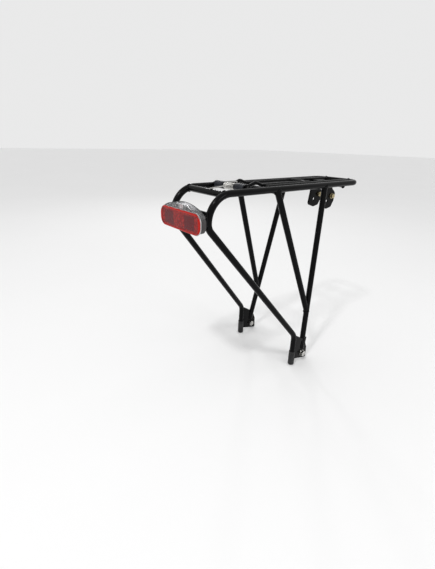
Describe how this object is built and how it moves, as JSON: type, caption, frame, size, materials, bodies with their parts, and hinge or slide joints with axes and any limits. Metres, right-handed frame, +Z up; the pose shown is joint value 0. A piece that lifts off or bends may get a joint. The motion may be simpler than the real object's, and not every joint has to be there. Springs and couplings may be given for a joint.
{
  "type": "rear rack",
  "caption": "Black welded bar rack for the back of a bicycle: flat deck with a sprung wire clamp, splayed legs down to bolted feet, a front bracket and a red rear lamp.",
  "frame": {"origin": "midway between the two foot bolts, on their common axis and on the middle plane", "axes": "+X forward along the bicycle, +Y to the rider's left, +Z up"},
  "size_m": [0.375, 0.1592, 0.3334],
  "materials": {
    "black_enamel": "gloss black enamel over aluminium bar",
    "black_steel": "gloss black enamel over steel",
    "sleeve_plastic": "moulded dark blue-black nylon",
    "zinc_steel": "bright zinc plate",
    "yellow_zinc": "yellow zinc plate",
    "cap_plastic": "moulded black",
    "lamp_black": "moulded dark grey",
    "inlet_rubber": "matt",
    "red_lens": "polished translucent red",
    "clear_cover": "polished clear, slightly smoky",
    "circuit_board": "white solder mask",
    "led_resin": "polished resin",
    "reflector_white": "polished moulded white",
    "chip_black": "matt",
    "dark_red_prism": "faceted dark red"
  },
  "bodies": {
    "frame": {"bracket_bolts": "yellow_zinc", "bracket_cross_bar": "black_enamel", "bracket_ear_left": "black_enamel", "bracket_ear_right": "black_enamel", "bracket_nuts": "yellow_zinc", "bracket_washers": "yellow_zinc", "clamp_spring": "zinc_steel", "deck_hoop": "black_enamel", "foot_bolts": "zinc_steel", "foot_left": "black_enamel", "foot_nuts": "zinc_steel", "foot_right": "black_enamel", "foot_washers": "zinc_steel", "front_cross_bar": "black_enamel", "front_strut_left": "black_enamel", "front_strut_right": "black_enamel", "hinge_clips": "black_steel", "hinge_rod": "black_steel", "inner_rod_left": "black_enamel", "inner_rod_right": "black_enamel", "lamp_board": "circuit_board", "lamp_chips": "chip_black", "lamp_cover": "clear_cover", "lamp_diodes": "led_resin", "lamp_housing": "lamp_black", "lamp_inlet": "inlet_rubber", "lamp_led": "led_resin", "lamp_lens": "red_lens", "lamp_nuts": "yellow_zinc", "lamp_plate": "black_enamel", "lamp_prisms": "dark_red_prism", "lamp_reflector": "reflector_white", "lamp_studs": "yellow_zinc", "lamp_washers": "yellow_zinc", "leg_cap_left": "cap_plastic", "leg_cap_right": "cap_plastic", "middle_cross_bar": "black_enamel", "middle_strut_left": "black_enamel", "middle_strut_right": "black_enamel", "rear_cross_bar": "black_enamel", "rear_leg_left": "black_enamel", "rear_leg_right": "black_enamel"},
    "clamp": {"clamp_sleeve_left": "sleeve_plastic", "clamp_sleeve_right": "sleeve_plastic", "clamp_loop": "black_steel", "clamp_cross_bar": "black_steel"}
  },
  "joints": [
    {"name": "clamp_hinge", "type": "hinge", "parent": "frame", "child": "clamp", "pos_m": [-0.1325, 0, 0.3103], "axis": [0, -1, 0], "range_deg": [0, 80], "stiffness_Nm_per_rad": 1, "springref_deg": -20.05, "deforming": ["clamp_spring"]}
  ]
}
